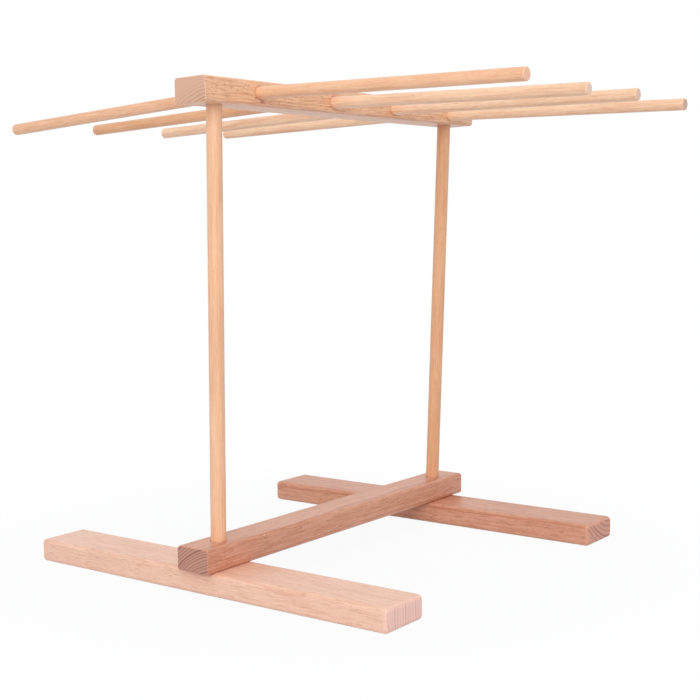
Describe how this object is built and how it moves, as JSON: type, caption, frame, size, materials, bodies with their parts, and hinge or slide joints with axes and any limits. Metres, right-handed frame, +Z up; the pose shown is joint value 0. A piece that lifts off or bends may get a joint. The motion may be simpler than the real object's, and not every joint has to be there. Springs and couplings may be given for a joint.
{
  "type": "pasta drying rack",
  "caption": "Wooden rack for drying fresh pasta: a rail on flat feet, round uprights and a top bar with plug-in round arms along both sides.",
  "frame": {"origin": "middle of the whole rack's outline, on the table it stands on", "axes": "+X along the feet towards the right arms, +Y along the rail from the near foot to the far one, +Z up"},
  "size_m": [0.4316, 0.3034, 0.3233],
  "materials": {
    "foot_wood": "sanded, unvarnished beech",
    "rail_wood": "sanded, unvarnished beech",
    "bar_wood": "sanded, unvarnished beech",
    "upright_wood": "sanded, unvarnished beech",
    "arm_wood": "sanded, unvarnished beech",
    "screw_steel": "zinc-plated"
  },
  "bodies": {
    "base": {"foot_near": "foot_wood", "foot_far": "foot_wood", "base_rail": "rail_wood", "screw_near_1": "screw_steel", "screw_near_2": "screw_steel", "screw_far_1": "screw_steel", "screw_far_2": "screw_steel"},
    "uprights": {"upright_near": "upright_wood", "upright_far": "upright_wood"},
    "top_bar": {"top_bar": "bar_wood"},
    "arm_left_1": {"arm_left_1": "arm_wood"},
    "arm_left_2": {"arm_left_2": "arm_wood"},
    "arm_left_3": {"arm_left_3": "arm_wood"},
    "arm_left_4": {"arm_left_4": "arm_wood"},
    "arm_right_1": {"arm_right_1": "arm_wood"},
    "arm_right_2": {"arm_right_2": "arm_wood"},
    "arm_right_3": {"arm_right_3": "arm_wood"},
    "arm_right_4": {"arm_right_4": "arm_wood"}
  },
  "joints": [
    {"name": "uprights_lift", "type": "slide", "parent": "base", "child": "uprights", "axis": [0.0225, 0.008, 0.9997], "range_m": [0, 0.015]},
    {"name": "top_bar_lift", "type": "slide", "parent": "uprights", "child": "top_bar", "axis": [0.0225, 0.008, 0.9997], "range_m": [0, 0.014]},
    {"name": "arm_left_1_pull", "type": "slide", "parent": "top_bar", "child": "arm_left_1", "axis": [-0.9981, 0.0157, -0.0593], "range_m": [0, 0.015]},
    {"name": "arm_left_2_pull", "type": "slide", "parent": "top_bar", "child": "arm_left_2", "axis": [-0.9989, 0.0157, -0.0445], "range_m": [0, 0.015]},
    {"name": "arm_left_3_pull", "type": "slide", "parent": "top_bar", "child": "arm_left_3", "axis": [-0.9991, 0.0157, -0.0384], "range_m": [0, 0.015]},
    {"name": "arm_left_4_pull", "type": "slide", "parent": "top_bar", "child": "arm_left_4", "axis": [-0.9995, 0.0157, -0.0279], "range_m": [0, 0.015]},
    {"name": "arm_right_1_pull", "type": "slide", "parent": "top_bar", "child": "arm_right_1", "axis": [0.9998, -0.0157, -0.0113], "range_m": [0, 0.015]},
    {"name": "arm_right_2_pull", "type": "slide", "parent": "top_bar", "child": "arm_right_2", "axis": [0.9997, -0.0157, -0.0166], "range_m": [0, 0.015]},
    {"name": "arm_right_3_pull", "type": "slide", "parent": "top_bar", "child": "arm_right_3", "axis": [0.9999, -0.0157, -0.007], "range_m": [0, 0.015]},
    {"name": "arm_right_4_pull", "type": "slide", "parent": "top_bar", "child": "arm_right_4", "axis": [0.9998, -0.0157, -0.014], "range_m": [0, 0.015]}
  ]
}
